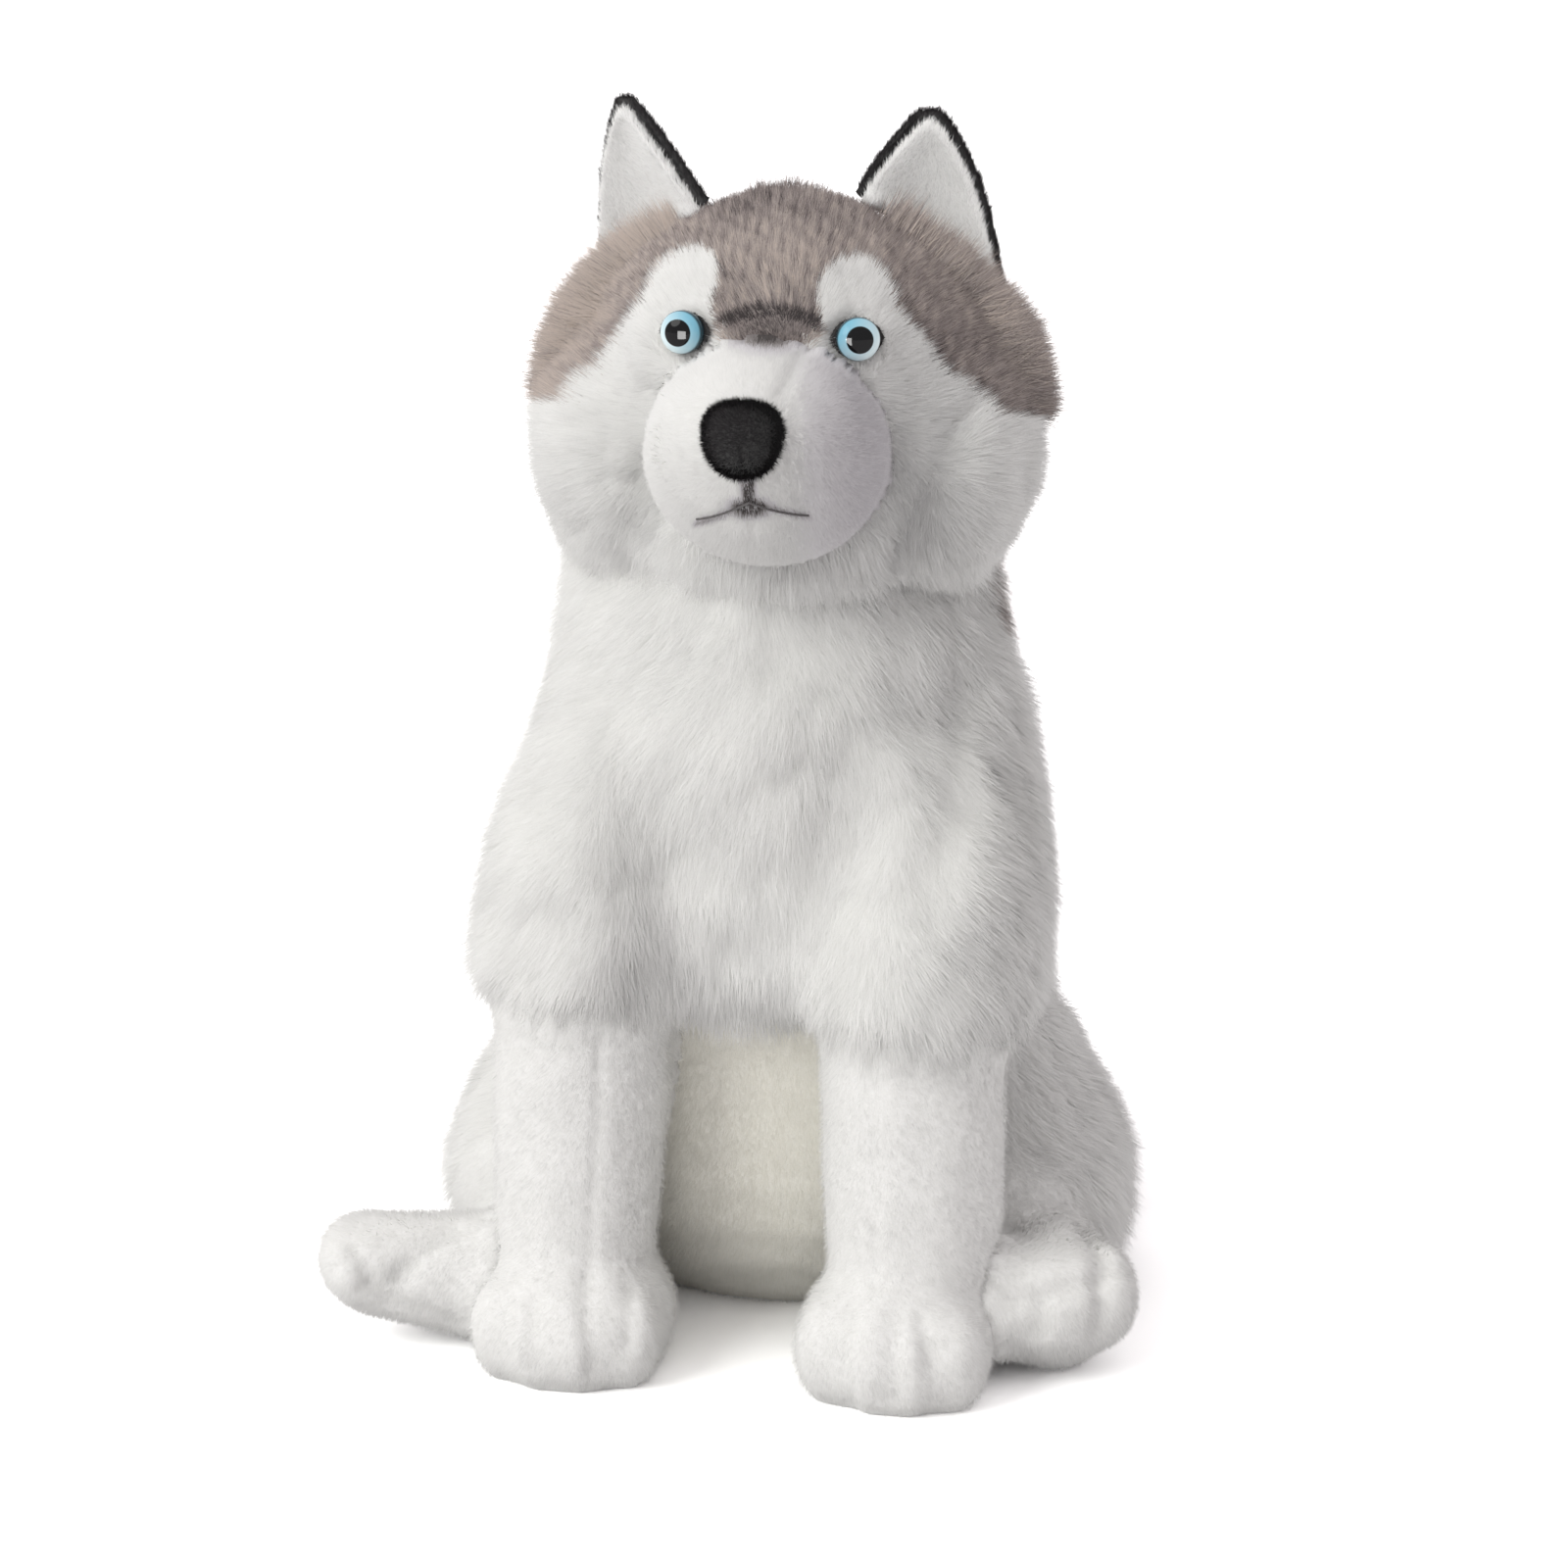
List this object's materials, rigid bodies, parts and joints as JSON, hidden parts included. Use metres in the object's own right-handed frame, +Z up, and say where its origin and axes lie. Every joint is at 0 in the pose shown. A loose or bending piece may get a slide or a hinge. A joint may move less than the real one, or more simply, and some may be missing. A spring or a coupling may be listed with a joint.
{
  "type": "plush husky",
  "caption": "Seated plush husky with a long white coat, a grey-brown cap and back, black-backed ears, pale blue plastic eyes and a tail that lies on the ground.",
  "frame": {"origin": "middle of the dog's outline from above, on the ground it sits on", "axes": "+Z up, -Y the way the dog looks, +X the dog's own left side"},
  "size_m": [0.339, 0.3518, 0.5012],
  "materials": {
    "white_pile": "long white plush pile",
    "short_white_pile": "short velvety white plush pile",
    "grey_brown_pile": "streaked grey-brown plush pile",
    "black_pile": "short black plush pile",
    "black_felt": "pressed black felt",
    "dark_thread": "sewn dark thread",
    "blue_eye": "polished pale blue plastic with a black pupil",
    "washer_plastic": "plain moulded plastic"
  },
  "bodies": {
    "root": {"torso": "white_pile", "front_leg_left": "short_white_pile", "front_leg_right": "short_white_pile", "hind_leg_left": "short_white_pile", "hind_leg_right": "short_white_pile", "tail": "grey_brown_pile", "head": "grey_brown_pile", "muzzle": "short_white_pile", "nose": "black_pile", "mouth_stitch": "dark_thread", "eye_left": "blue_eye", "eye_right": "blue_eye", "eye_washer_left": "washer_plastic", "eye_washer_right": "washer_plastic", "eye_patch_left": "black_felt", "eye_patch_right": "black_felt", "ear_lining_left": "short_white_pile", "ear_lining_right": "short_white_pile", "ear_back_left": "black_pile", "ear_back_right": "black_pile"}
  },
  "joints": []
}
